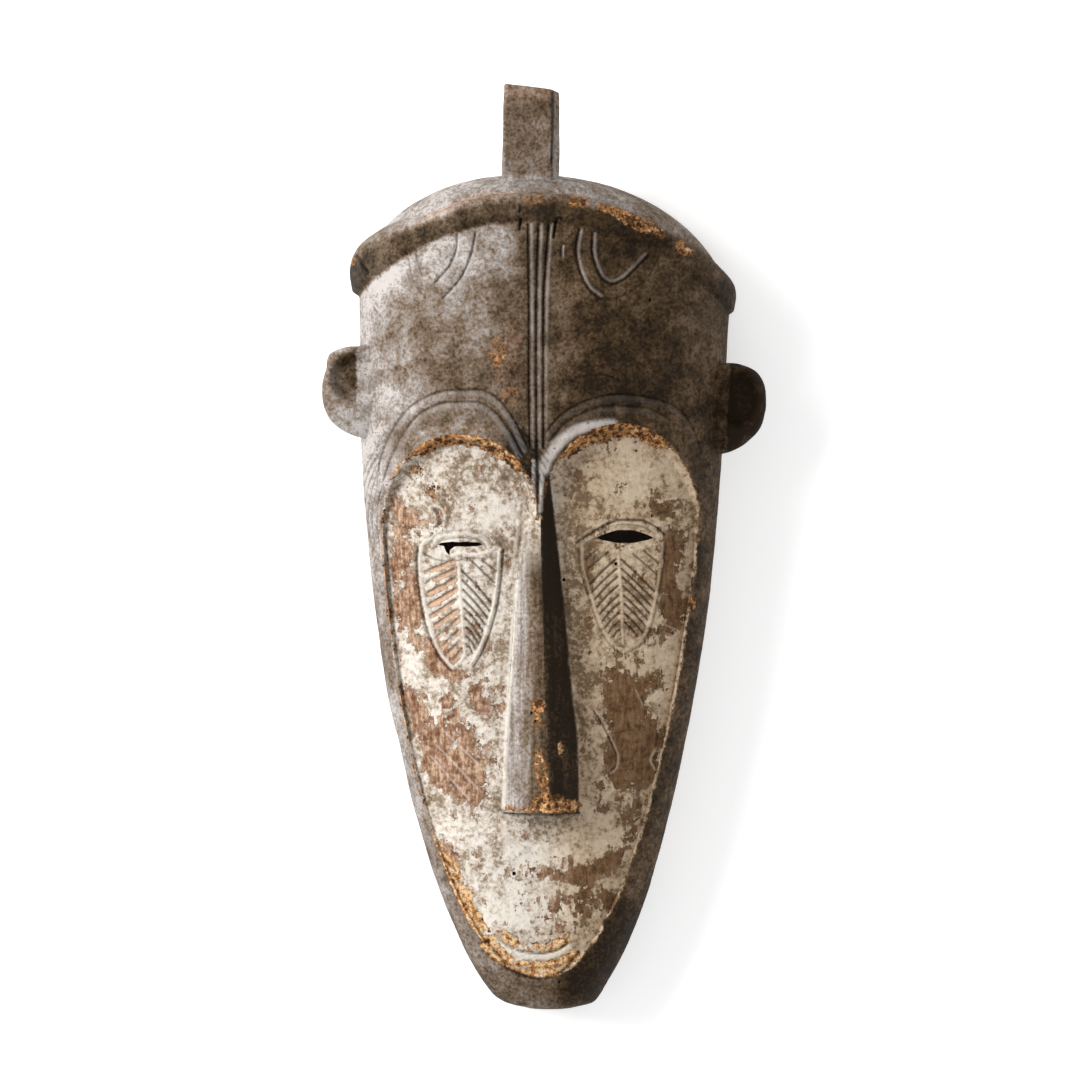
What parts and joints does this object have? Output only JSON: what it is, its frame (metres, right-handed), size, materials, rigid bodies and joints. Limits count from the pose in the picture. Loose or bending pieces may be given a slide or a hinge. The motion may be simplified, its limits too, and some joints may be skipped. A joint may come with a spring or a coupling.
{
  "type": "carved wooden face mask",
  "caption": "Elongated hollow-backed wooden face mask with a heart-shaped whitened face, long nose, slit eyes, brow band, ears and a squared crest prong, lying face up.",
  "frame": {"origin": "centre of the mask's bounding box on the plane of its flat back rim", "axes": "+Z out of the face, away from the back rim; +Y from the chin to the crest prong; +X to the right as the picture shows it"},
  "size_m": [0.2292, 0.4744, 0.1204],
  "materials": {
    "carved_wood": "dry worn grey-brown wood, chalky white worn pigment on the sunk face"
  },
  "bodies": {
    "root": {"mask": "carved_wood"}
  },
  "joints": []
}
